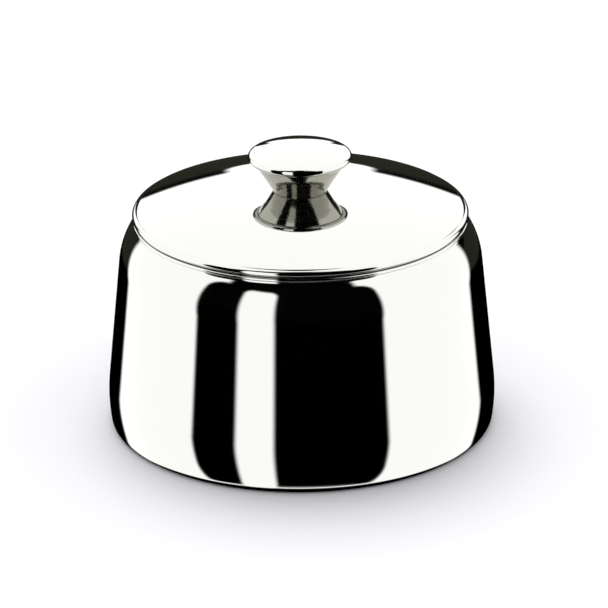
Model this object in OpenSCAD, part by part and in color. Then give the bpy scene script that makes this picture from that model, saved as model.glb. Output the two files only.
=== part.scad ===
// Lidded sugar bowl in mirror-polished sheet steel.
// Every piece is a turned or pressed shape about the Z axis. The origin is the
// centre of the standing ring, on the surface the bowl stands on, and +Z is up.

/* [Bowl] */
// Widest diameter of the bowl, just above the base
bowl_d = 100; // [90:1:115]
// Height of the shoulder where it meets the mouth bead
bowl_h = 54.4; // [50:0.2:60]
// How far the lid's edge and the mouth are set in from the widest ring
mouth_inset = 7; // [6.5:0.25:12]
// Height of the widest ring above the table
belly_z = 7.8; // [6:0.2:10]
// Radius of the gentle curve through the widest ring
belly_r = 44; // [35:1:60]
// Lean of the straight wall towards the axis, in degrees
taper = 5.8; // [4:0.2:7]
// Radius of the rounded shoulder
shoulder_r = 19.4; // [16:0.2:24]
// Radius of the corner between the wall and the standing ring
corner_r = 1.6; // [1.2:0.1:2.4]
// Sheet thickness of the bowl
bowl_t = 0.8; // [0.6:0.05:1]
// Width of the flat ring that the bowl stands on
foot_w = 3.6; // [2.5:0.1:5]
// How far the middle of the base is pressed up
base_lift = 1.4; // [0.8:0.1:2.5]
// Radius of the rolled bead around the mouth
mouth_bead_r = 0.5; // [0.45:0.01:0.55]
// How far the mouth bead sits back under the lid's rolled edge
bead_tuck = 0.05; // [0:0.01:0.1]

/* [Lid] */
// Radius of the rolled edge of the lid
lid_bead_r = 0.95; // [0.8:0.05:1.2]
// Sheet thickness of the lid
lid_t = 0.7; // [0.5:0.05:0.8]
// Rise of the lid's crown above its rolled edge
crown_h = 5.2; // [4:0.1:6.5]
// Gap between the lid's rolled edge and the mouth bead
seat_gap = 0.12; // [0.08:0.01:0.2]
// Radius of the flat middle of the crown, which the knob stands on
pad_r = 10; // [8.5:0.25:13]
// Play all round between the locating ring and the mouth
ring_play = 0.4; // [0.25:0.05:0.6]
// Depth of the locating ring below the lid
ring_h = 4; // [3:0.25:6]
// Sheet thickness of the locating ring
ring_t = 0.8; // [0.6:0.05:1]
// Lead-in around the ring's lower edge
ring_lead = 0.3; // [0.2:0.05:0.4]

/* [Knob] */
// Widest diameter of the knob, across its cap
knob_d = 26.5; // [23:0.5:29]
// Height of the knob above the lid
knob_h = 11.6; // [10.5:0.1:13]
// Radius of the cap's rolled edge
cap_bead_r = 1.1; // [0.9:0.05:1.3]
// Rise of the cap's crown above its rolled edge
cap_crown_h = 1.4; // [0.8:0.1:2]
// Diameter of the cone's foot, where the knob stands on the lid
foot_d = 13.6; // [12.8:0.2:14.4]
// Height of the lower cone, up to the step where the side turns outwards
step_h = 3.7; // [3:0.1:4.2]
// How far the lower cone widens, on the radius
step_out = 2.25; // [1.6:0.05:2.6]
// How far the flare above the step bows out from a straight line
flare_bow = 0.15; // [0:0.05:0.5]
// Sheet thickness of the knob pressings
knob_t = 0.5; // [0.4:0.05:0.6]

/* [Fastening] */
// Diameter of the screw that holds the knob
screw_d = 4; // [3:0.5:5]
// Diameter of the screw's head
screw_head_d = 7.6; // [7:0.1:9]
// Height of the screw's head
screw_head_h = 2.2; // [1.8:0.1:2.6]
// Diameter of the washer under the lid
washer_d = 11; // [10:0.5:13]
// Thickness of the washer
washer_t = 0.8; // [0.6:0.1:1.2]
// Length of the screw's cross recess, from tip to tip
recess_l = 4; // [3:0.25:5]
// Width of the recess's arms
recess_w = 0.8; // [0.6:0.1:1]
// Depth of the recess
recess_depth = 1; // [0.8:0.1:1.4]
// Diameter of the threaded boss inside the knob
boss_d = 8; // [7.5:0.25:9]
// Height of the boss
boss_h = 5; // [4:0.25:6]
// How far the screw's tip stops below the top of the boss
tip_short = 1.5; // [1:0.25:2]
// Radial room for the screw in the holes it passes through
hole_play = 0.2; // [0.1:0.05:0.4]

/* [Hidden] */

// Points per rounded stretch of an outline, and facets of a full turn.
arc_steps = 12;
turn_steps = 128;
// Overlap past a surface where one solid is cut from another.
cut = 1;
// Share of a bead's radius by which the sheet runs into it.
bead_share = 0.6;
// Breaking of sheared edges, and the taper down the side of the screw's head.
edge_break = 0.1;
head_taper = 0.6;

bowl_radius = bowl_d / 2;
lid_radius = bowl_radius - mouth_inset;

// Lean of the wall at the end of the standing corner: the belly arc takes over there and is
// upright at belly_z.
corner_lean = asin((belly_z - corner_r) / (belly_r - corner_r));
belly_c = [bowl_radius - belly_r, belly_z];
corner_c = belly_c + (belly_r - corner_r) * [cos(corner_lean), -sin(corner_lean)];

// The lid's rolled edge sits over the middle of the mouth bead, a seat_gap above it.
lid_bead_x = lid_radius - lid_bead_r;
mouth_bead_c = [lid_radius - mouth_bead_r - bead_tuck, bowl_h + mouth_bead_r * bead_share];
seat_reach = mouth_bead_r + lid_bead_r + seat_gap;
lid_bead_c = [lid_bead_x, mouth_bead_c[1] + sqrt(pow(seat_reach, 2) - pow(mouth_bead_c[0] - lid_bead_x, 2))];

// Shoulder: an arc that leaves the straight wall smoothly and ends inside the mouth bead.
shoulder_end = [mouth_bead_c[0] - mouth_bead_r * bead_share, bowl_h];
wall_up = [-sin(taper), cos(taper)];
wall_in = [-cos(taper), -sin(taper)];
wall_start = belly_c + belly_r * [cos(taper), sin(taper)];
reach = wall_start + shoulder_r * wall_in - shoulder_end;
wall_len = -(reach * wall_up) - sqrt(pow(reach * wall_up, 2) - reach * reach + pow(shoulder_r, 2));
shoulder_c = wall_start + wall_len * wall_up + shoulder_r * wall_in;
shoulder_lean = atan2(shoulder_end[1] - shoulder_c[1], shoulder_end[0] - shoulder_c[0]);
// Clear radius of the mouth, inside the sheet's edge.
mouth_r = shoulder_end[0] - bowl_t * cos(shoulder_lean) - edge_break;

// Crown of the lid: flat in the middle, then an arc that leaves the flat smoothly and runs
// down to the top of the rolled edge.
crown_z0 = lid_bead_c[1] + lid_bead_r;
crown_run = lid_bead_x - pad_r;
crown_r = (pow(crown_run, 2) + pow(crown_h, 2)) / (2 * crown_h);
function crown_z(r) = crown_z0 + crown_h - (crown_r - sqrt(pow(crown_r, 2) - pow(max(r - pad_r, 0), 2)));
// The knob stands on the flat middle.
seat_z = crown_z0 + crown_h;

// Knob heights, all measured from the lid it stands on.
cap_radius = knob_d / 2;
cap_bead_c = [cap_radius - cap_bead_r, seat_z + knob_h - cap_crown_h - cap_bead_r];
cap_crown_r = (pow(cap_bead_c[0], 2) + pow(cap_crown_h, 2)) / (2 * cap_crown_h);
foot_r = foot_d / 2;
hole_r = screw_d / 2 + hole_play;
boss_z = seat_z + knob_t;

ring_outer_r = mouth_r - ring_play;
ring_top_z = crown_z(ring_outer_r) - lid_t;

// Points on an arc about centre c, from angle a0 to angle a1.
function arc(c, r, a0, a1, steps = arc_steps) =
    [for (i = [0:steps]) let (a = a0 + (a1 - a0) * i / steps) c + r * [cos(a), sin(a)]];

function reversed(p) = [for (i = [len(p) - 1:-1:0]) p[i]];

// Side of the bowl from the table to the mouth, set in from the outer skin.
function bowl_side(inset) = concat(
    arc(corner_c, corner_r - inset, -90, -corner_lean),
    arc(belly_c, belly_r - inset, -corner_lean, taper),
    arc(shoulder_c, shoulder_r - inset, taper, shoulder_lean, 2 * arc_steps));

// Underside of the base, from the axis out to the standing ring.
function base_line(inset) = let (edge = corner_c[0], slope_w = 2 * base_lift) [
    [0, base_lift + inset],
    [edge - foot_w - slope_w, base_lift + inset],
    [edge - foot_w, inset]];

// Crown of the lid from radius r0 out to r1, set down from the outer skin.
function crown_line(r0, r1, drop, steps = arc_steps) =
    [for (i = [0:steps]) let (r = r0 + (r1 - r0) * i / steps) [r, crown_z(r) - drop]];

// Crown of the knob's cap, set down from the outer skin.
function cap_line(r1, drop, steps = arc_steps) =
    [for (i = [0:steps]) let (r = r1 * i / steps)
        [r, seat_z + knob_h - drop - (cap_crown_r - sqrt(pow(cap_crown_r, 2) - pow(r, 2)))]];

// Outer line of the cone: a lower cone up to the step, then a flare into the cap's rolled edge.
step_c = [foot_r + step_out, seat_z + step_h];
flare_run = cap_bead_c - step_c;
flare_side = [flare_run[1], -flare_run[0]] / norm(flare_run);
function cone_line(inset) = concat(
    [[foot_r - inset, seat_z]],
    [for (i = [0:arc_steps]) let (
        t = i / arc_steps,
        p = step_c + flare_run * t + flare_side * flare_bow * sin(180 * t))
        [p[0] - inset, p[1]]]);

module turned(points) {
    rotate_extrude($fn = turn_steps) polygon(points);
}

module bead(centre, r) {
    rotate_extrude($fn = turn_steps) translate(centre) circle(r, $fn = 48);
}

module hole(r, z0, z1) {
    translate([0, 0, z0 - cut]) cylinder(r = r, h = z1 - z0 + 2 * cut, $fn = 64);
}

// Deep-drawn bowl with a raised base and a rolled bead around its mouth.
module bowl_body() {
    color("silver") {
        turned(concat(base_line(0), bowl_side(0), reversed(bowl_side(bowl_t)), reversed(base_line(bowl_t))));
        bead(mouth_bead_c, mouth_bead_r);
    }
}

// Crowned lid with a rolled edge and a flat middle for the knob.
module lid_shell() {
    color("silver") difference() {
        union() {
            turned(concat(
                [[0, seat_z]],
                crown_line(pad_r, lid_bead_x, 0, 2 * arc_steps),
                reversed(crown_line(pad_r, lid_bead_x, lid_t, 2 * arc_steps)),
                [[0, seat_z - lid_t]]));
            bead(lid_bead_c, lid_bead_r);
        }
        hole(hole_r, seat_z - lid_t, seat_z);
    }
}

// Collar under the lid that drops into the mouth and keeps the lid central.
module lid_locating_ring() {
    inner_r = ring_outer_r - ring_t;
    color("gainsboro") turned([
        [inner_r, ring_top_z - ring_h],
        [ring_outer_r - ring_lead, ring_top_z - ring_h],
        [ring_outer_r, ring_top_z - ring_h + ring_lead],
        [ring_outer_r, ring_top_z],
        [inner_r, crown_z(inner_r) - lid_t]]);
}

// The cone's outline, filled, which the cap's rolled edge closes over.
module cone_solid() {
    turned(concat([[0, seat_z]], cone_line(0), [[0, cap_bead_c[1]]]));
}

// Crowned cap of the knob, rolled over the cone's rim.
module knob_cap() {
    color("silver") difference() {
        union() {
            turned(concat(cap_line(cap_bead_c[0], 0), reversed(cap_line(cap_bead_c[0], knob_t))));
            bead(cap_bead_c, cap_bead_r);
        }
        cone_solid();
    }
}

// Hollow cone between the lid and the cap, with a floor for the boss.
module knob_cone() {
    color("silver") difference() {
        cone_solid();
        turned(concat(
            [[0, seat_z + knob_t], [foot_r - knob_t + step_out * knob_t / step_h, seat_z + knob_t]],
            [for (p = cone_line(knob_t)) if (p[1] > seat_z + knob_t) p],
            [[cap_bead_c[0] - knob_t, cap_bead_c[1] + cut], [0, cap_bead_c[1] + cut]]));
        hole(hole_r, seat_z, seat_z + knob_t);
    }
}

// Threaded boss welded to the cone's floor; the screw's thread bears on its bore.
module knob_boss() {
    color("darkgray") difference() {
        translate([0, 0, boss_z]) cylinder(d = boss_d, h = boss_h, $fn = 64);
        hole(screw_d / 2, boss_z, boss_z + boss_h);
    }
}

// Pan-head screw that comes up through the lid into the boss.
module knob_screw() {
    head_top = seat_z - lid_t - washer_t;
    color("lightgray") difference() {
        union() {
            translate([0, 0, head_top - screw_head_h])
                cylinder(d1 = screw_head_d - 2 * head_taper, d2 = screw_head_d, h = screw_head_h, $fn = 64);
            translate([0, 0, head_top - screw_head_h / 2])
                cylinder(d = screw_d, h = boss_z + boss_h - tip_short - head_top + screw_head_h / 2, $fn = 64);
        }
        for (turn = [0, 90])
            rotate(turn) translate([-recess_l / 2, -recess_w / 2, head_top - screw_head_h - cut])
                cube([recess_l, recess_w, recess_depth + cut]);
    }
}

// Flat washer between the screw's head and the lid.
module knob_washer() {
    color("lightgray") difference() {
        translate([0, 0, seat_z - lid_t - washer_t]) cylinder(d = washer_d, h = washer_t, $fn = 64);
        hole(hole_r, seat_z - lid_t - washer_t, seat_z - lid_t);
    }
}

bowl_body();
lid_shell();
lid_locating_ring();
knob_cap();
knob_cone();
knob_boss();
knob_screw();
knob_washer();
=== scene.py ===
"""Mirror-polished steel sugar bowl with a domed lift-off lid, on a white studio floor."""

import logging
import math
from dataclasses import dataclass, field
from enum import Enum
from typing import Optional, Sequence

import bpy
import numpy as np
from mathutils import Matrix, Vector


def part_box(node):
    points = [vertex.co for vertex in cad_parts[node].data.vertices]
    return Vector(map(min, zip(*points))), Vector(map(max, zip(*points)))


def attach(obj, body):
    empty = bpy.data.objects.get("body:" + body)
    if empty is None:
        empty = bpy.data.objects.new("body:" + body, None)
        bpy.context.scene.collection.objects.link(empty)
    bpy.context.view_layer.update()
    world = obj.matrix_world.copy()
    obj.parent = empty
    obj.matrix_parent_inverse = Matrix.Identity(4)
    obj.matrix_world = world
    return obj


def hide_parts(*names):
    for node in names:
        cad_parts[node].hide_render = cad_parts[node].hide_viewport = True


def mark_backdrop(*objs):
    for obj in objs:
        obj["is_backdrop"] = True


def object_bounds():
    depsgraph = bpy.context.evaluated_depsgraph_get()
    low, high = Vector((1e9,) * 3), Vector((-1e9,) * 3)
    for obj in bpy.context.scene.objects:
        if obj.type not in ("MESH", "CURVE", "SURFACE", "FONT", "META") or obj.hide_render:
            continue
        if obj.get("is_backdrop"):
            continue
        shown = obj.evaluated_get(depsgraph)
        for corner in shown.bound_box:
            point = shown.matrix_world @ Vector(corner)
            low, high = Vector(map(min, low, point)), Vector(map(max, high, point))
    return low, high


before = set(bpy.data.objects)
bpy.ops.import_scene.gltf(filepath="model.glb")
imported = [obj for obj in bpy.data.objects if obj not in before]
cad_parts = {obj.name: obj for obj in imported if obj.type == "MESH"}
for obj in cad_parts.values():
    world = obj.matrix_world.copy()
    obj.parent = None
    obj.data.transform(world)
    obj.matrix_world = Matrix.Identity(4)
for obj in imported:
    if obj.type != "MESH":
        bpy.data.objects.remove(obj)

LOG = logging.getLogger("sugar_bowl")
MM = 0.001
# Angles, in degrees.
WHOLE_TURN = 360
STRAIGHT_DOWN = -90
# Points round the axis, and the distance between points along an outline.
TURN_STEPS = 256
ARC_POINTS = 9
ARC_STEP_MM = 0.45
LONG_STEP_MM = 1.2
SHORT_STEP_MM = 0.3
NECK_STEP_MM = 0.25
EDGE_STEP_MM = 0.2
LEAD_STEP_MM = 0.1
# Nearer than this, a point lies on the axis or repeats the one before.
ON_AXIS_MM = 1e-6
SAME_POINT_MM = 1e-4
# Octaves of noise in the polishing marks.
MARK_DETAIL = 3.0
# Points along each side of a light panel, and the most of its half width that a corner may take.
PANEL_POINTS = 161
CORNER_SHARE = 0.9
# Between no matt bounce and the first one.
FIRST_MATT_BOUNCE = 0.5


class Slot(Enum):
    """The record's material slots."""

    POLISHED = "polished_steel"
    SATIN = "satin_steel"
    HARDWARE = "hardware_steel"


def linear(hex_colour: str) -> tuple[float, float, float, float]:
    """Turns an sRGB hex colour into linear light: c/12.92 below 0.04045, else ((c+0.055)/1.055)^2.4.

    Args:
        hex_colour: Six hex digits with a leading hash.

    Returns:
        Linear red, green, blue and an alpha of one.
    """
    srgb = np.array([int(hex_colour[i:i + 2], 16) / 255 for i in (1, 3, 5)])
    low = srgb / 12.92
    high = ((srgb + 0.055) / 1.055) ** 2.4
    rgb = np.where(srgb <= 0.04045, low, high)
    return float(rgb[0]), float(rgb[1]), float(rgb[2]), 1.0


def add_node(tree: bpy.types.NodeTree, kind: str, settings: Optional[dict] = None,
             inputs: Optional[dict] = None) -> bpy.types.Node:
    """Adds a node, sets its properties, and sets or links its inputs.

    Args:
        tree: The node tree to add to.
        kind: The node's type name.
        settings: Properties of the node, by name.
        inputs: Values or output sockets, by input name or index.

    Returns:
        The new node.
    """
    node = tree.nodes.new(kind)
    for name, value in (settings or {}).items():
        setattr(node, name, value)
    for name, value in (inputs or {}).items():
        if isinstance(value, bpy.types.NodeSocket):
            tree.links.new(value, node.inputs[name])
        else:
            node.inputs[name].default_value = value
    return node


def bare_material(name: str) -> bpy.types.Material:
    """Makes a material with an empty node tree.

    Args:
        name: Name of the material.

    Returns:
        The new material.
    """
    made = bpy.data.materials.new(name)
    made.use_nodes = True
    made.node_tree.nodes.clear()
    return made


def linked(name: str, data: bpy.types.ID) -> bpy.types.Object:
    """Adds an object that holds a mesh, a light or a camera to the scene.

    Args:
        name: Name of the object.
        data: What it holds.

    Returns:
        The new object, at the origin.
    """
    made = bpy.data.objects.new(name, data)
    bpy.context.scene.collection.objects.link(made)
    return made


def surface(name: str, points: np.ndarray, faces: list, kept: str, values: np.ndarray) -> bpy.types.Object:
    """Makes a mesh and keeps one number at each of its points.

    Args:
        name: Name of the object and its mesh.
        points: Rows of x, y and z, metres.
        faces: The point numbers of each face.
        kept: Name of the attribute that keeps the numbers.
        values: The numbers, one for each point.

    Returns:
        The new object, at the origin.
    """
    mesh = bpy.data.meshes.new(name)
    mesh.from_pydata(points.tolist(), [], faces)
    held = mesh.attributes.new(kept, "FLOAT", "POINT")
    held.data.foreach_set("value", values.astype(np.float32))
    return linked(name, mesh)


def arc(centre: Sequence[float], radius: float, start: float, stop: float) -> np.ndarray:
    """Points centre + radius * (cos a, sin a), with a running evenly from start to stop.

    Args:
        centre: Radius and height of the arc's centre, mm.
        radius: Radius of the arc, mm.
        start: First angle, degrees.
        stop: Last angle, degrees.

    Returns:
        Points as rows of radius and height, mm.
    """
    span = math.radians(abs(stop - start))
    count = max(ARC_POINTS, int(span * radius / ARC_STEP_MM) + 1)
    angle = np.radians(np.linspace(start, stop, count))
    return np.stack([centre[0] + radius * np.cos(angle), centre[1] + radius * np.sin(angle)], axis=1)


def straight(start: Sequence[float], stop: Sequence[float], step: float = LONG_STEP_MM) -> np.ndarray:
    """Points start + t * (stop - start), with t running evenly from 0 to 1.

    Args:
        start: Radius and height of the first point, mm.
        stop: Radius and height of the last point, mm.
        step: Distance between points, roughly, mm.

    Returns:
        Points as rows of radius and height, mm.
    """
    first, last = np.asarray(start, float), np.asarray(stop, float)
    count = max(2, int(np.linalg.norm(last - first) / step) + 1)
    return first + (last - first) * np.linspace(0, 1, count)[:, None]


def joined(*runs: np.ndarray) -> np.ndarray:
    """Runs of points end to end, without points that repeat the one before.

    Args:
        runs: Points as rows of radius and height, mm.

    Returns:
        One outline, in the same form.
    """
    points = np.concatenate(runs)
    gap = np.linalg.norm(np.diff(points, axis=0), axis=1)
    return points[np.r_[True, gap > SAME_POINT_MM]]


def outside(points: np.ndarray, centre: Sequence[float], radius: float) -> np.ndarray:
    """The points that lie outside a bead's circle."""
    return points[np.linalg.norm(points - np.asarray(centre), axis=1) > radius]


def bearing(point: np.ndarray, centre: Sequence[float]) -> float:
    """Angle from a bead's centre to a point, degrees."""
    return math.degrees(math.atan2(point[1] - centre[1], point[0] - centre[0]))


def revolved(name: str, outline: np.ndarray, closed: bool = False) -> bpy.types.Object:
    """Carries an outline once round the Z axis: x = r cos t, y = r sin t, z = h.

    An end on the axis becomes one pole point with a fan of triangles. The length along the
    outline is kept in the attribute profile_mm.

    Args:
        name: Name of the piece.
        outline: Rows of radius and height in mm, with the outside to the right of the path.
        closed: True where the last point joins the first, as on a ring.

    Returns:
        The new object, at the origin.
    """
    length = np.r_[0, np.cumsum(np.linalg.norm(np.diff(outline, axis=0), axis=1))]
    poles = (not closed and outline[0, 0] < ON_AXIS_MM, not closed and outline[-1, 0] < ON_AXIS_MM)
    rows = outline[int(poles[0]):len(outline) - int(poles[1])]
    row_length = length[int(poles[0]):len(outline) - int(poles[1])]
    turn = np.arange(TURN_STEPS) * 2 * np.pi / TURN_STEPS
    grid = np.stack([rows[:, :1] * np.cos(turn), rows[:, :1] * np.sin(turn),
                     np.repeat(rows[:, 1:], TURN_STEPS, axis=1)], axis=2)
    points = grid.reshape(-1, 3)
    along = np.repeat(row_length, TURN_STEPS)
    index = np.arange(len(points)).reshape(len(rows), TURN_STEPS)
    if closed:
        index = np.concatenate([index, index[:1]])
    after = np.roll(index, -1, axis=1)
    quads = np.stack([index[:-1], after[:-1], after[1:], index[1:]], axis=2).reshape(-1, 4)
    faces = quads.tolist()
    fans = ((poles[0], 0, after[0], index[0]), (poles[1], -1, index[-1], after[-1]))
    for wanted, end, first, second in fans:
        if wanted:
            points = np.vstack([points, [0, 0, outline[end, 1]]])
            along = np.r_[along, length[end]]
            pole = np.full(TURN_STEPS, len(points) - 1)
            faces += np.stack([pole, first, second], axis=1).tolist()
    piece = surface(name, points * MM, faces, "profile_mm", along)
    piece.data.polygons.foreach_set("use_smooth", np.ones(len(piece.data.polygons), bool))
    piece.data.update()
    return piece


@dataclass(frozen=True)
class TurnedSteel:
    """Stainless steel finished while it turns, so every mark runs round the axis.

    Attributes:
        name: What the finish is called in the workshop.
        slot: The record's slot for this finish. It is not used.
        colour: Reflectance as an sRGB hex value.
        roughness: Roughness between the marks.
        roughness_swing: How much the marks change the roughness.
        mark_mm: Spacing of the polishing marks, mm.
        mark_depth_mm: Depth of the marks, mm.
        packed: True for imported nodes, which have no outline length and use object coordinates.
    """

    name: str
    slot: Slot
    colour: str
    roughness: float
    roughness_swing: float
    mark_mm: float
    mark_depth_mm: float
    packed: bool = False

    def material(self) -> bpy.types.Material:
        """Builds the finish once: noise along the outline only, which draws rings round the axis.

        Returns:
            The finish's one material.
        """
        made = bpy.data.materials.get(self.name)
        if made is not None:
            return made
        made = bare_material(self.name)
        tree = made.node_tree
        if self.packed:
            place = add_node(tree, "ShaderNodeTexCoord")
            marks = add_node(tree, "ShaderNodeTexNoise", {}, {
                "Vector": place.outputs["Object"], "Scale": 1 / (self.mark_mm * MM),
                "Detail": MARK_DETAIL})
        else:
            along = add_node(tree, "ShaderNodeAttribute", {"attribute_name": "profile_mm"})
            marks = add_node(tree, "ShaderNodeTexNoise", {"noise_dimensions": "1D"}, {
                "W": along.outputs["Fac"], "Scale": 1 / self.mark_mm, "Detail": MARK_DETAIL})
        rough = add_node(tree, "ShaderNodeMapRange", {}, {
            "Value": marks.outputs[0], "To Min": self.roughness - self.roughness_swing,
            "To Max": self.roughness + self.roughness_swing})
        bump = add_node(tree, "ShaderNodeBump", {}, {
            "Height": marks.outputs[0], "Strength": 1.0,
            "Distance": self.mark_depth_mm * MM})
        shader = add_node(tree, "ShaderNodeBsdfPrincipled", {}, {
            "Base Color": linear(self.colour), "Metallic": 1.0,
            "Roughness": rough.outputs["Result"], "Normal": bump.outputs["Normal"]})
        add_node(tree, "ShaderNodeOutputMaterial", {}, {"Surface": shader.outputs["BSDF"]})
        return made


# Stainless steel buffed to a mirror: it shows sharp images, with faint rings from the buffing wheel.
# Buffing marks are typically well under 0.05 mm apart, and are drawn wider so that they show.
MIRROR = TurnedSteel(
    name="mirror_buffed_steel", slot=Slot.POLISHED, colour="#BDBDBA", roughness=0.04,
    roughness_swing=0.012, mark_mm=0.6, mark_depth_mm=0.00002)
# The same steel polished with a finer cloth only, because the wheel can't reach into the neck: its
# images are soft and break into bands round the axis. Its marks are drawn wider so that they show.
CLOTH_POLISHED = TurnedSteel(
    name="cloth_polished_steel", slot=Slot.POLISHED, colour="#A5A49A", roughness=0.12,
    roughness_swing=0.04, mark_mm=0.9, mark_depth_mm=0.0004)
# Satin stainless steel: ground with a fine belt, so highlights spread into soft bands. Belt marks
# are typically about 0.05 mm apart, and are drawn wider so that they show.
SATIN = TurnedSteel(
    name="belt_satin_steel", slot=Slot.SATIN, colour="#C4C2BE", roughness=0.26,
    roughness_swing=0.05, mark_mm=0.35, mark_depth_mm=0.0006)
# Plain machined steel: cutter marks and a dull, slightly grey shine. Cutter marks are typically
# 0.1 to 0.2 mm apart, and are drawn wider so that they show.
MACHINED = TurnedSteel(
    name="machined_steel", slot=Slot.HARDWARE, colour="#B5B5B3", roughness=0.34,
    roughness_swing=0.06, mark_mm=0.5, mark_depth_mm=0.001, packed=True)


def dress(piece: bpy.types.Object, body: str, finish: TurnedSteel, *nodes: str) -> None:
    """Gives a piece its finish and its body, and hides the CAD nodes it stands for.

    Args:
        piece: The piece to dress.
        body: The CAD body that it rides on.
        finish: The finish.
        nodes: The CAD nodes it replaces.
    """
    piece.data.materials.append(finish.material())
    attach(piece, body)
    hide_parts(*nodes)
    LOG.info("%s: %d faces on %s", piece.name, len(piece.data.polygons), body)


@dataclass
class Bowl:
    """The deep-drawn bowl, in mm and degrees. Its widest radius is read from the frame.

    Attributes:
        belly_z: Height of the widest point.
        belly_r: Radius of the belly's arc.
        taper: Lean of the straight wall from upright.
        shoulder_r: Radius of the shoulder's arc.
        corner_r: Radius of the standing corner.
        sheet: Thickness of the steel.
        foot_w: Width of the standing ring.
        base_lift: How far the middle of the base is pressed up.
        height: Height of the mouth.
        mouth_inset: How far the mouth lies inside the widest point.
        bead_r: Radius of the mouth bead.
        bead_tuck: How far the bead is tucked in.
        bead_share: Share of the bead's radius that stands above the mouth.
        slope_share: Length of the slope in the base, as a multiple of its rise.
        radius: Widest radius.
        bead_c: Radius and height of the mouth bead's centre.
    """

    belly_z: float = 7.8
    belly_r: float = 44.0
    taper: float = 5.8
    shoulder_r: float = 19.4
    corner_r: float = 1.6
    sheet: float = 0.8
    foot_w: float = 3.6
    base_lift: float = 1.4
    height: float = 54.4
    mouth_inset: float = 7.0
    bead_r: float = 0.5
    bead_tuck: float = 0.05
    bead_share: float = 0.6
    slope_share: float = 2.0
    radius: float = field(init=False)
    bead_c: np.ndarray = field(init=False)

    def __post_init__(self) -> None:
        """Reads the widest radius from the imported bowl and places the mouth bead."""
        self.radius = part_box("bowl_body")[1].x / MM
        self.bead_c = np.array([self.radius - self.mouth_inset - self.bead_r - self.bead_tuck,
                                self.height + self.bead_r * self.bead_share])

    def side(self, inset: float) -> np.ndarray:
        """Standing corner, belly arc, straight wall and shoulder arc, each leaving the last smoothly.

        Args:
            inset: Distance inwards from the outer skin, mm.

        Returns:
            Outline from the table up to the mouth.
        """
        lean = math.degrees(math.asin((self.belly_z - self.corner_r) / (self.belly_r - self.corner_r)))
        slope = math.radians(self.taper)
        belly_c = np.array([self.radius - self.belly_r, self.belly_z])
        corner_c = belly_c + (self.belly_r - self.corner_r) * np.array(
            [math.cos(math.radians(lean)), -math.sin(math.radians(lean))])
        wall_out = np.array([math.cos(slope), math.sin(slope)])
        wall_up = np.array([-math.sin(slope), math.cos(slope)])
        end = np.array([self.bead_c[0] - self.bead_r * self.bead_share, self.height])
        reach = belly_c + (self.belly_r - self.shoulder_r) * wall_out - end
        run = -(reach @ wall_up) - math.sqrt((reach @ wall_up) ** 2 - reach @ reach + self.shoulder_r ** 2)
        shoulder_c = belly_c + (self.belly_r - self.shoulder_r) * wall_out + run * wall_up
        lean_in = bearing(end, shoulder_c)
        return joined(arc(corner_c, self.corner_r - inset, STRAIGHT_DOWN, -lean),
                      arc(belly_c, self.belly_r - inset, -lean, self.taper),
                      arc(shoulder_c, self.shoulder_r - inset, self.taper, lean_in))

    def base(self, inset: float) -> np.ndarray:
        """Pressed-up middle of the base, a slope, and the flat standing ring.

        Args:
            inset: Distance inwards from the outer skin, mm.

        Returns:
            Outline from the axis out to the standing corner.
        """
        edge = self.side(0)[0, 0]
        ring_in = [edge - self.foot_w, inset]
        press_out = [edge - self.foot_w - self.slope_share * self.base_lift, self.base_lift + inset]
        return joined(straight([0, self.base_lift + inset], press_out),
                      straight(press_out, ring_in, SHORT_STEP_MM),
                      straight(ring_in, [edge, inset]))

    def build(self) -> None:
        """Builds the bowl: outer skin up, round the bead, and down the inner skin, as one piece."""
        outer = outside(self.side(0), self.bead_c, self.bead_r)
        inner = outside(self.side(self.sheet), self.bead_c, self.bead_r)
        roll = arc(self.bead_c, self.bead_r, bearing(outer[-1], self.bead_c),
                   bearing(inner[-1], self.bead_c) % WHOLE_TURN)
        outline = joined(self.base(0), outer, roll, inner[::-1], self.base(self.sheet)[::-1])
        skin = revolved("bowl_skin", outline)
        dress(skin, "bowl", MIRROR, "bowl_body")
        outside_run = joined(self.base(0), outer, roll)
        self.satin_inside(skin, float(np.linalg.norm(np.diff(outside_run, axis=0), axis=1).sum()))

    def satin_inside(self, skin: bpy.types.Object, edge: float) -> None:
        """Gives the faces past the mouth bead the satin finish.

        Args:
            skin: The bowl's skin.
            edge: Length along the outline at which the inside starts, mm.
        """
        skin.data.materials.append(SATIN.material())
        along = np.empty(len(skin.data.vertices), np.float32)
        skin.data.attributes["profile_mm"].data.foreach_get("value", along)
        first = np.empty(len(skin.data.loops), np.int32)
        skin.data.loops.foreach_get("vertex_index", first)
        starts = np.empty(len(skin.data.polygons), np.int32)
        skin.data.polygons.foreach_get("loop_start", starts)
        skin.data.polygons.foreach_set("material_index", (along[first[starts]] > edge).astype(np.int32))


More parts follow.
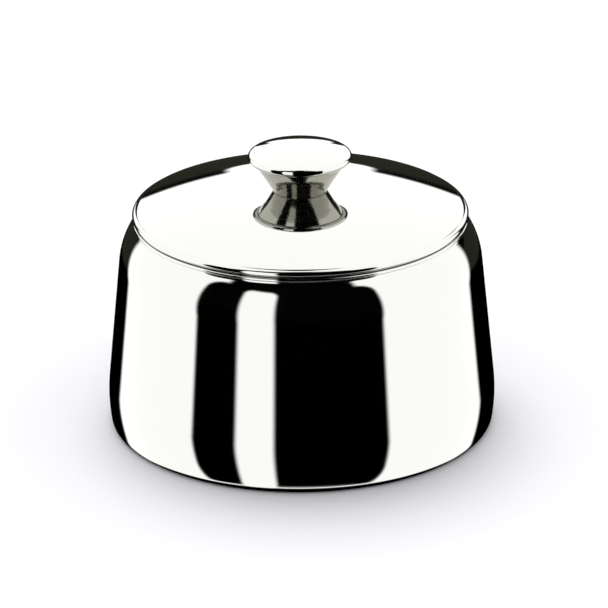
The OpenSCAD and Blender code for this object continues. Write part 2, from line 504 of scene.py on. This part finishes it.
@dataclass
class Lid:
    """The domed lid: flat in the middle, then an arc that runs down to its rolled edge, in mm.

    Attributes:
        bead_r: Radius of the rolled edge.
        sheet: Thickness of the steel.
        pad_r: Radius of the flat middle.
        crown_h: Rise of the middle above the rolled edge.
        hole_r: Radius of the screw's hole.
        ring_sheet: Thickness of the locating ring.
        ring_lead: Size of the bevel that leads the ring into the mouth.
        crown_points: Number of points across the crown.
        seat_z: Height of the flat middle, where the knob stands.
        bead_c: Radius and height of the rolled edge's centre.
        crown_r: Radius of the dome's arc.
    """

    bead_r: float = 0.95
    sheet: float = 0.7
    pad_r: float = 10.0
    crown_h: float = 5.2
    hole_r: float = 2.2
    ring_sheet: float = 0.8
    ring_lead: float = 0.3
    crown_points: int = 110
    seat_z: float = field(init=False)
    bead_c: np.ndarray = field(init=False)
    crown_r: float = field(init=False)

    def __post_init__(self) -> None:
        """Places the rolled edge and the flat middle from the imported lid."""
        low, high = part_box("lid_shell")
        self.seat_z = high.z / MM
        self.bead_c = np.array([high.x / MM - self.bead_r, self.seat_z - self.crown_h - self.bead_r])
        run = self.bead_c[0] - self.pad_r
        self.crown_r = (run ** 2 + self.crown_h ** 2) / (2 * self.crown_h)

    def crown(self, r: np.ndarray) -> np.ndarray:
        """Height seat - (R - sqrt(R^2 - d^2)), with d the distance past pad_r, or zero inside it.

        Args:
            r: Radii, mm.

        Returns:
            Heights of the upper skin, mm.
        """
        out = np.clip(r - self.pad_r, 0, None)
        return self.seat_z - (self.crown_r - np.sqrt(self.crown_r ** 2 - out ** 2))

    def build(self) -> None:
        """Builds the lid and the locating ring under it."""
        dress(self.shell(), "lid", MIRROR, "lid_shell")
        dress(self.collar(), "lid", SATIN, "lid_locating_ring")

    def shell(self) -> bpy.types.Object:
        """Turns the sheet, with its screw hole and its rolled edge, as a closed ring.

        Returns:
            The new piece.
        """
        r = np.linspace(self.hole_r, self.bead_c[0] + self.bead_r, self.crown_points)
        top = outside(np.stack([r, self.crown(r)], axis=1), self.bead_c, self.bead_r)
        top = top[top[:, 0] < self.bead_c[0]]
        under = outside(np.stack([r, self.crown(r) - self.sheet], axis=1), self.bead_c, self.bead_r)
        under = under[under[:, 0] < self.bead_c[0]]
        roll = arc(self.bead_c, self.bead_r, bearing(under[-1], self.bead_c) % WHOLE_TURN - WHOLE_TURN,
                   bearing(top[-1], self.bead_c))
        return revolved("lid_skin", joined(under, roll, top[::-1]), closed=True)

    def collar(self) -> bpy.types.Object:
        """Turns the locating ring: a short tube with a bevel at its lower outer edge.

        Returns:
            The new piece.
        """
        low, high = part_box("lid_locating_ring")
        outer, inner = high.x / MM, high.x / MM - self.ring_sheet
        bottom = low.z / MM
        top_out = float(self.crown(np.array([outer]))[0]) - self.sheet
        top_in = float(self.crown(np.array([inner]))[0]) - self.sheet
        bevel_in = [outer - self.ring_lead, bottom]
        bevel_out = [outer, bottom + self.ring_lead]
        outline = joined(straight([inner, bottom], bevel_in, EDGE_STEP_MM),
                         straight(bevel_in, bevel_out, LEAD_STEP_MM),
                         straight(bevel_out, [outer, top_out], SHORT_STEP_MM),
                         straight([outer, top_out], [inner, top_in], EDGE_STEP_MM),
                         straight([inner, top_in], [inner, bottom + LEAD_STEP_MM], SHORT_STEP_MM))
        return revolved("locating_collar", outline, closed=True)


@dataclass
class Knob:
    """The knob: a crowned cap rolled over the rim of a stepped cone, in mm.

    Attributes:
        bead_r: Radius of the cap's rolled edge.
        crown_h: Rise of the cap above its rolled edge.
        foot_r: Radius of the cone where it stands on the lid.
        step_h: Height of the step in the cone's side.
        step_out: How far the cone has widened at the step.
        flare_bow: How far the flare bows outwards between the step and the cap.
        sheet: Thickness of the steel.
        tuck: Share of the rolled edge's radius at which the flare stops inside it.
        crown_points: Number of points across the cap.
        flare_points: Number of points along the flare.
        top_z: Height of the cap's middle.
        foot_z: Height of the cone's foot.
        bead_c: Radius and height of the rolled edge's centre.
    """

    bead_r: float = 1.1
    crown_h: float = 1.4
    foot_r: float = 6.8
    step_h: float = 3.7
    step_out: float = 2.25
    flare_bow: float = 0.15
    sheet: float = 0.5
    tuck: float = 0.9
    crown_points: int = 40
    flare_points: int = 26
    top_z: float = field(init=False)
    foot_z: float = field(init=False)
    bead_c: np.ndarray = field(init=False)

    def __post_init__(self) -> None:
        """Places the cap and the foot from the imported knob."""
        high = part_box("knob_cap")[1]
        self.top_z = high.z / MM
        self.foot_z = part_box("knob_cone")[0].z / MM
        self.bead_c = np.array([high.x / MM - self.bead_r, self.top_z - self.crown_h - self.bead_r])

    def build(self) -> None:
        """Builds the cap and the cone."""
        dress(self.cap(), "lid", MIRROR, "knob_cap")
        dress(self.cone(), "lid", CLOTH_POLISHED, "knob_cone")

    def cap(self) -> bpy.types.Object:
        """Turns the cap: height top - (R - sqrt(R^2 - r^2)), rolled round the edge, closed on the axis.

        Returns:
            The new piece.
        """
        run = self.bead_c[0]
        crown_r = (run ** 2 + self.crown_h ** 2) / (2 * self.crown_h)
        r = np.linspace(0, run, self.crown_points)
        crown = np.stack([r, self.top_z - (crown_r - np.sqrt(crown_r ** 2 - r ** 2))], axis=1)
        under = outside(crown - [0, self.sheet], self.bead_c, self.bead_r)
        roll = arc(self.bead_c, self.bead_r, bearing(under[-1], self.bead_c) - WHOLE_TURN,
                   bearing(crown[-1], self.bead_c))
        return revolved("knob_cap_skin", joined(under, roll, crown[::-1]))

    def cone(self) -> bpy.types.Object:
        """Turns the hollow cone, closed on the axis: a straight neck, a step, and a flare.

        The flare is step + t * (bead centre - step), moved sideways by the bow * sin(pi * t).

        Returns:
            The new piece.
        """
        step = np.array([self.foot_r + self.step_out, self.foot_z + self.step_h])
        way = self.bead_c - step
        side = np.array([way[1], -way[0]]) / np.linalg.norm(way)
        t = np.linspace(0, 1, self.flare_points)[:, None]
        flare = step + way * t + side * self.flare_bow * np.sin(np.pi * t)
        flare = outside(flare, self.bead_c, self.bead_r * self.tuck)
        outer = joined(straight([0, self.foot_z], [self.foot_r, self.foot_z]),
                       straight([self.foot_r, self.foot_z], step, NECK_STEP_MM), flare)
        inner = outer[outer[:, 1] > self.foot_z + self.sheet] - [self.sheet, 0]
        floor = straight([inner[0, 0], self.foot_z + self.sheet], [0, self.foot_z + self.sheet])
        return revolved("knob_cone_skin", joined(outer, inner[::-1], floor))


@dataclass(frozen=True)
class Fastening:
    """The boss, screw and washer that hold the knob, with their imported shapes.

    Attributes:
        nodes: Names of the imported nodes.
    """

    nodes: tuple[str, ...] = ("knob_boss", "knob_screw", "knob_washer")

    def build(self) -> None:
        """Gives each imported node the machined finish, in its own material slots."""
        for name in self.nodes:
            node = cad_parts[name]
            for slot in node.material_slots:
                slot.material = MACHINED.material()
            LOG.info("%s: packed node, machined finish", name)


@dataclass(frozen=True)
class LightPanel:
    """A soft studio panel or dark card on a sphere round the bowl, bounded by angles in degrees.

    Attributes:
        name: Name of the panel.
        across: Bearings of its sides, from the camera side, positive to the right.
        up: Heights of its lower and upper edges above the horizon.
        strength: Emission at its middle, or zero for a dark card.
        corner: Radius of its corners, degrees.
        soft: Width over which its edges fade, degrees.
        overhead: True where the panel arches over, measured from the back horizon.
        colour: Colour of its light, as an sRGB hex value.
        further: Its distance as a share of the other panels' distance.
    """

    name: str
    across: tuple[float, float]
    up: tuple[float, float]
    strength: float
    corner: float
    soft: float
    overhead: bool = False
    colour: str = "#FFFFFF"
    further: float = 1.0

    def build(self, radius: float, centre_z: float) -> bpy.types.Object:
        """Grid of directions, with a window value of one inside a rounded box and zero outside.

        The distance to a rounded box is |max(q, 0)| + min(max(q), 0) - corner, with q the distance
        past the inner box on each axis. Over the soft edge the value is 3 g^2 - 2 g^3, with g
        running from 0 at the edge to 1.

        Args:
            radius: Distance of the panel, metres.
            centre_z: Height of the sphere's centre, metres.

        Returns:
            The panel, seen by mirror rays only.
        """
        wide = np.linspace(*self.across, PANEL_POINTS)
        tall = np.linspace(*self.up, PANEL_POINTS)
        a, e = np.meshgrid(wide, tall)
        ra, re = np.radians(a), np.radians(e)
        if self.overhead:
            way = np.stack([np.sin(ra), np.cos(ra) * np.cos(re), np.cos(ra) * np.sin(re)], axis=2)
        else:
            way = np.stack([np.cos(re) * np.sin(ra), -np.cos(re) * np.cos(ra), np.sin(re)], axis=2)
        mid = np.array([sum(self.across), sum(self.up)]) / 2
        half = np.array([self.across[1] - self.across[0], self.up[1] - self.up[0]]) / 2
        corner = min(self.corner, half.min() * CORNER_SHARE)
        q = np.abs(np.stack([a, e], axis=2) - mid) - (half - corner)
        away = np.linalg.norm(np.clip(q, 0, None), axis=2) + np.minimum(q.max(axis=2), 0) - corner
        glow = np.clip(-away / self.soft, 0, 1)
        glow = glow * glow * (3 - 2 * glow)
        points = way.reshape(-1, 3) * radius * self.further + [0, 0, centre_z]
        index = np.arange(a.size).reshape(a.shape)
        faces = np.stack([index[:-1, :-1], index[:-1, 1:], index[1:, 1:], index[1:, :-1]], axis=2)
        panel = surface(self.name, points, faces.reshape(-1, 4).tolist(), "glow", glow.ravel())
        panel.data.materials.append(self.cloth())
        panel.visible_camera = False
        panel.visible_diffuse = False
        panel.visible_shadow = False
        return panel

    def cloth(self) -> bpy.types.Material:
        """Lit diffuser cloth, clear where its window value is zero.

        It is also clear to light paths that have met a matt surface, because its light would
        otherwise come off the bowl on to the floor and fill the contact shadow.

        Returns:
            The new material.
        """
        made = bare_material(self.name)
        tree = made.node_tree
        glow = add_node(tree, "ShaderNodeAttribute", {"attribute_name": "glow"})
        light = add_node(tree, "ShaderNodeEmission", {}, {
            "Color": linear(self.colour), "Strength": self.strength})
        clear = add_node(tree, "ShaderNodeBsdfTransparent")
        path = add_node(tree, "ShaderNodeLightPath")
        unspent = add_node(tree, "ShaderNodeMath", {"operation": "LESS_THAN"}, {
            0: path.outputs["Diffuse Depth"], 1: FIRST_MATT_BOUNCE})
        shown = add_node(tree, "ShaderNodeMath", {"operation": "MULTIPLY"}, {
            0: glow.outputs["Fac"], 1: unspent.outputs[0]})
        mix = add_node(tree, "ShaderNodeMixShader", {}, {0: shown.outputs[0]})
        tree.links.new(clear.outputs[0], mix.inputs[1])
        tree.links.new(light.outputs[0], mix.inputs[2])
        add_node(tree, "ShaderNodeOutputMaterial", {}, {"Surface": mix.outputs[0]})
        return made


# No two panels that overlap are at the same distance, because their surfaces would fight.
PANELS = (
    # One wide lit tent round the front and sides, and up to the top.
    LightPanel("wrap_panel", across=(-137, 130), up=(-45.5, 88), strength=1.88, corner=10.0, soft=4.0),
    # The dark opening in front, and its neck that runs up over the bowl.
    LightPanel("dark_card", across=(-67.5, 52.2), up=(-42, 42), strength=0.0, corner=13.0, soft=3.0,
               colour="#000000", further=0.96),
    LightPanel("dark_neck", across=(-57.5, 43.5), up=(22, 97), strength=0.0, corner=14.0, soft=6.0,
               colour="#000000", further=0.94),
    # The narrow light that stands in the opening.
    LightPanel("strip_panel", across=(-40, -14.4), up=(-46, 39), strength=1.88, corner=7.0, soft=3.5,
               further=0.92),
    # The big light over the lid, and the small tongue at its back edge.
    LightPanel("overhead_panel", across=(-42, 42), up=(11, 84), strength=1.88, corner=9.0, soft=1.5,
               overhead=True, further=0.9),
    LightPanel("back_tongue", across=(-5.5, 5.5), up=(6, 16), strength=1.88, corner=3.0, soft=1.0,
               overhead=True, further=0.88),
    # The far wall of the room, low behind the bowl.
    LightPanel("dim_room", across=(-70, 70), up=(-18, 10), strength=0.03, corner=12.0, soft=4.0,
               overhead=True, colour="#FCFFDC", further=1.25),
)


@dataclass
class Studio:
    """White floor and surround, the soft panels, and the camera. Lengths in metres, angles in degrees.

    Attributes:
        panel_distance: Radius of the sphere that the panels lie on.
        floor_size: Side of the square floor.
        floor_drop: How far the floor lies under the standing ring.
        floor_colour: Colour of the floor, as an sRGB hex value.
        floor_roughness: Roughness of the floor.
        surround: Strength of the even light from all round.
        sun: Strength of the light from above.
        sun_spread: Angle that it fills.
        sun_tilt: How far it leans back from straight above.
        sun_side: How far it leans to the left.
        eye: Place of the camera.
        aim: Point that the camera looks at.
        roll: Turn of the camera about its own axis.
        lens: Focal length, mm.
        sensor: Width of the sensor, mm.
        sight: Farthest distance that the camera sees.
    """

    panel_distance: float = 1.5
    floor_size: float = 8.0
    floor_drop: float = 0.00005
    floor_colour: str = "#F7F7FC"
    floor_roughness: float = 0.9
    surround: float = 0.71
    sun: float = 1.33
    sun_spread: float = 42.0
    sun_tilt: float = 20.0
    sun_side: float = 5.0
    eye: tuple[float, float, float] = (0.000737, -0.9909, 0.4435)
    aim: tuple[float, float, float] = (0.000737, 0.0, 0.0308)
    roll: float = -0.478
    lens: float = 246.6
    sensor: float = 36.0
    sight: float = 20.0

    def build(self) -> None:
        """Builds the whole stage."""
        low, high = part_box("bowl_body")
        middle = (high.z + low.z) / 2
        panels = [panel.build(self.panel_distance, middle) for panel in PANELS]
        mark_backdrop(*panels, self.floor())
        self.light_surround()
        self.light_from_above()
        self.camera()

    def floor(self) -> bpy.types.Object:
        """Flat white floor at the height of the standing ring.

        Returns:
            The new piece.
        """
        h = self.floor_size / 2
        mesh = bpy.data.meshes.new("floor")
        mesh.from_pydata([(-h, -h, 0), (h, -h, 0), (h, h, 0), (-h, h, 0)], [], [(0, 1, 2, 3)])
        floor = linked("floor", mesh)
        # Matt white paper: it takes the contact shadow and shows no highlight.
        made = bpy.data.materials.new("white_paper")
        made.use_nodes = True
        shader = made.node_tree.nodes["Principled BSDF"]
        shader.inputs["Base Color"].default_value = linear(self.floor_colour)
        shader.inputs["Roughness"].default_value = self.floor_roughness
        mesh.materials.append(made)
        floor.visible_glossy = False
        floor.location.z = -self.floor_drop
        return floor

    def light_surround(self) -> None:
        """Even white light from all round, which mirrors don't see."""
        world = bpy.data.worlds.new("surround")
        bpy.context.scene.world = world
        world.use_nodes = True
        back = world.node_tree.nodes["Background"]
        back.inputs["Color"].default_value = (1, 1, 1, 1)
        back.inputs["Strength"].default_value = self.surround
        world.cycles_visibility.glossy = False
        bpy.context.scene.view_settings.view_transform = "Standard"

    def light_from_above(self) -> None:
        """Broad light from above, behind and a little left, so the shadow lies in front and to the right."""
        data = bpy.data.lights.new("above", "SUN")
        data.energy = self.sun
        data.angle = math.radians(self.sun_spread)
        above = linked("above", data)
        above.rotation_euler = (math.radians(-self.sun_tilt), math.radians(-self.sun_side), 0)
        above.visible_glossy = False

    def camera(self) -> None:
        """Long lens, a little above the lid, turned slightly about its own axis."""
        data = bpy.data.cameras.new("camera")
        data.lens = self.lens
        data.sensor_width = self.sensor
        data.clip_end = self.sight
        camera = linked("camera", data)
        eye = Vector(self.eye)
        look = (Vector(self.aim) - eye).to_track_quat("-Z", "Y").to_matrix().to_4x4()
        turn = Matrix.Rotation(math.radians(self.roll), 4, "Z")
        camera.matrix_world = Matrix.Translation(eye) @ look @ turn
        bpy.context.scene.camera = camera


def as_lists(box: Sequence) -> list:
    """A box's corners as plain lists."""
    return [list(corner) for corner in box]


def main(cad_box: list) -> None:
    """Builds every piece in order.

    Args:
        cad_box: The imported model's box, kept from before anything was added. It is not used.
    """
    logging.basicConfig(level=logging.INFO, format="%(name)s %(message)s")
    Bowl().build()
    Lid().build()
    Knob().build()
    Fastening().build()
    Studio().build()


if __name__ == "__main__":
    main(as_lists(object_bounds()))
